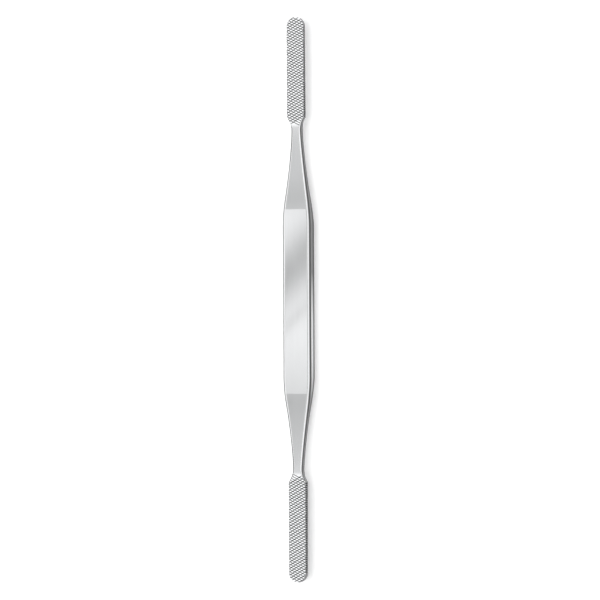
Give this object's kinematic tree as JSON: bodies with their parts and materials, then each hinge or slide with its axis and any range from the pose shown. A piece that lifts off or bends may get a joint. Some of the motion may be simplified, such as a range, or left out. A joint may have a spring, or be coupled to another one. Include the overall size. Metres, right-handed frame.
{
  "type": "nasal rasp",
  "caption": "Double-ended nasal rasp: flat bevelled bar handle, slim tapered necks and a flat round-ended blade with cross-cut teeth at each end.",
  "frame": {"origin": "on the plane of the handle's flat back, under the middle of the whole length and width", "axes": "+Y along the rasp towards its upper, thinner blade; +Z out of the toothed faces; +X across the rasp"},
  "size_m": [0.011, 0.21, 0.005],
  "materials": {
    "stainless_steel": "satin ground stainless steel, with bright bevels and cut teeth"
  },
  "bodies": {
    "root": {"nasal_rasp": "stainless_steel"}
  },
  "joints": []
}
